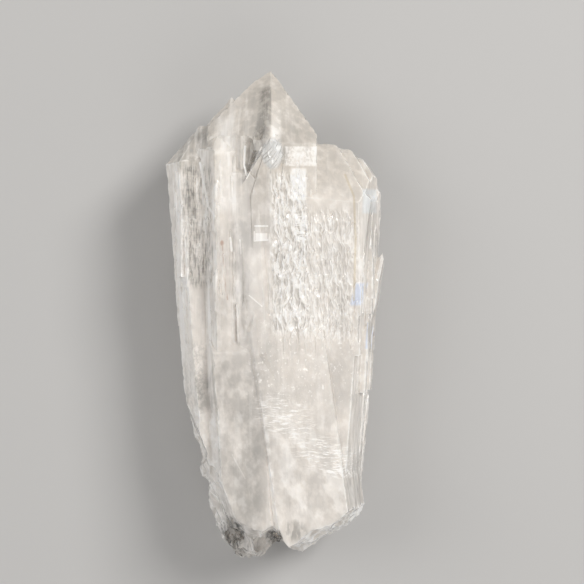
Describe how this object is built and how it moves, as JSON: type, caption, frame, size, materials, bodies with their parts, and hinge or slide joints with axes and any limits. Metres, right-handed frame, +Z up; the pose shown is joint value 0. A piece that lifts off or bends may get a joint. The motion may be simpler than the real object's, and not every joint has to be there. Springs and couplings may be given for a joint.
{
  "type": "cathedral quartz crystal",
  "caption": "Natural clear-to-milky quartz cluster of side-by-side six-sided crystals fused into one stepped body, pointed at one end and broken at the other.",
  "frame": {"origin": "centre of the bounding box in X and Y, on the flat back that it lies on", "axes": "+Z up from the table to the front faces, +Y along the crystals from the broken foot to the tips, +X towards the side with the rounded stepped shoulder"},
  "size_m": [0.0422, 0.095, 0.0262],
  "materials": {
    "quartz": "clear to milky natural crystal faces, dull and chipped where the foot is broken"
  },
  "bodies": {
    "root": {"quartz_cluster": "quartz"}
  },
  "joints": []
}
